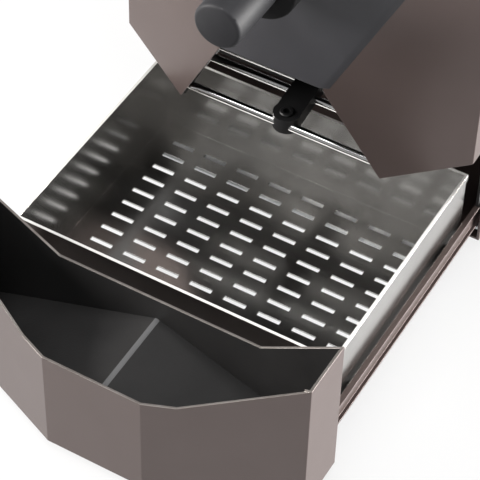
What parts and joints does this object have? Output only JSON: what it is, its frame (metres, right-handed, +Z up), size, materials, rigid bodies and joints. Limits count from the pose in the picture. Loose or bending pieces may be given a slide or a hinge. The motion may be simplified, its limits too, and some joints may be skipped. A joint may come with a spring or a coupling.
{
  "type": "home coffee bean roaster",
  "caption": "Countertop drum coffee roaster with a faceted metal body, a pull-out chaff bowl and cooling bin, a quarter-turn discharge handle and a hinged hopper lid.",
  "frame": {"origin": "on the table, under the middle of the roaster with its drawer pulled out", "axes": "+Z up, +Y from the drawer's front to the back, +X to the right seen from the front"},
  "size_m": [0.2, 0.464, 0.3181],
  "materials": {
    "taupe_paint": "satin metallic paint",
    "panel_paint": "fine-textured satin paint",
    "black_powder": "fine-textured powder coat",
    "stainless": "bright polished",
    "bar_chrome": "polished",
    "zinc_steel": "galvanised",
    "grip": "soft satin",
    "black_plastic": "matte",
    "dark_steel": "heat-darkened",
    "gear": "machined",
    "brass": "plain bearing metal",
    "rubber": "matte",
    "board": "lacquered",
    "heater": "oxidised sheath"
  },
  "bodies": {
    "housing": {"base_tray": "taupe_paint", "right_side_frame": "black_powder", "left_side_frame": "black_powder", "slide_tracks": "zinc_steel", "rubber_feet": "rubber", "left_side_shell": "taupe_paint", "right_side_shell": "taupe_paint", "front_panel": "panel_paint", "top_cover": "taupe_paint", "rear_panel": "black_powder", "heat_deck": "zinc_steel", "front_bulkhead": "black_powder", "rear_bulkhead": "zinc_steel", "front_drum_bush": "brass", "rear_drum_bush": "brass", "right_duct_cheek": "black_powder", "left_duct_cheek": "black_powder", "grate_bars": "bar_chrome", "grate_spine": "black_plastic", "spine_screw": "black_plastic", "drive_motor": "zinc_steel", "motor_bracket": "zinc_steel", "oven_shell": "zinc_steel", "heater_rods": "heater", "temperature_probe": "stainless", "handle_hub": "black_plastic", "bean_hopper": "stainless", "hinge_bracket": "black_powder", "hinge_pin": "bar_chrome", "control_plate": "black_powder", "dial_switches": "black_plastic", "fan_frame": "black_plastic", "fan_motor": "black_plastic", "control_board": "board", "board_posts": "brass", "power_inlet": "black_plastic", "case_screws": "bar_chrome"},
    "drawer": {"drawer_bowl": "taupe_paint", "chaff_floor": "black_powder", "cooling_bin": "stainless", "right_drawer_rail": "taupe_paint", "left_drawer_rail": "taupe_paint", "cross_bars": "zinc_steel"},
    "drum": {"drum_shell": "dark_steel", "drum_spider": "dark_steel", "drum_flights": "dark_steel", "drum_shaft": "gear", "drum_gear": "gear"},
    "pinion": {"motor_pinion": "gear"},
    "fan": {"cooling_fan": "black_plastic"},
    "handle": {"handle_grip": "grip", "handle_spindle": "gear", "drop_shutter": "dark_steel"},
    "lid": {"hopper_lid": "taupe_paint", "lid_knob": "grip"},
    "heat_dial": {"heat_knob": "grip"},
    "time_dial": {"time_knob": "grip"},
    "start": {"start_button": "grip"},
    "rocker": {"power_rocker": "black_plastic"}
  },
  "joints": [
    {"name": "drawer_slide", "type": "slide", "parent": "housing", "child": "drawer", "axis": [0, 1, 0], "range_m": [0, 0.1645]},
    {"name": "drum_spin", "type": "hinge", "parent": "housing", "child": "drum", "pos_m": [0, 0.054, 0.2038], "axis": [0, 1, 0], "continuous": true},
    {"name": "pinion_spin", "type": "hinge", "parent": "housing", "child": "pinion", "pos_m": [0.052, 0.145, 0.2038], "axis": [0, 1, 0], "continuous": true},
    {"name": "fan_spin", "type": "hinge", "parent": "housing", "child": "fan", "pos_m": [-0.05, 0.222, 0.15], "axis": [0, 1, 0], "continuous": true},
    {"name": "handle_turn", "type": "hinge", "parent": "housing", "child": "handle", "pos_m": [0, -0.072, 0.2038], "axis": [0, 1, 0], "range_deg": [0, 80]},
    {"name": "lid_hinge", "type": "hinge", "parent": "housing", "child": "lid", "pos_m": [0, 0.0145, 0.30559], "axis": [-1, 0, 0], "range_deg": [0, 105]},
    {"name": "heat_turn", "type": "hinge", "parent": "housing", "child": "heat_dial", "pos_m": [-0.038, 0.086, 0.29029], "axis": [0, 0, -1], "range_deg": [0, 270]},
    {"name": "time_turn", "type": "hinge", "parent": "housing", "child": "time_dial", "pos_m": [-0.006, 0.086, 0.29029], "axis": [0, 0, -1], "range_deg": [0, 270]},
    {"name": "start_press", "type": "slide", "parent": "housing", "child": "start", "axis": [0, 0, -1], "range_m": [0, 0.002], "stiffness_N_per_m": 300},
    {"name": "power_rock", "type": "hinge", "parent": "housing", "child": "rocker", "pos_m": [0.045, 0.086, 0.28709], "axis": [1, 0, 0], "range_deg": [0, 12]}
  ],
  "couplings": [
    {"joint": "pinion_spin", "follows": "drum_spin", "ratio": -3.3333}
  ]
}
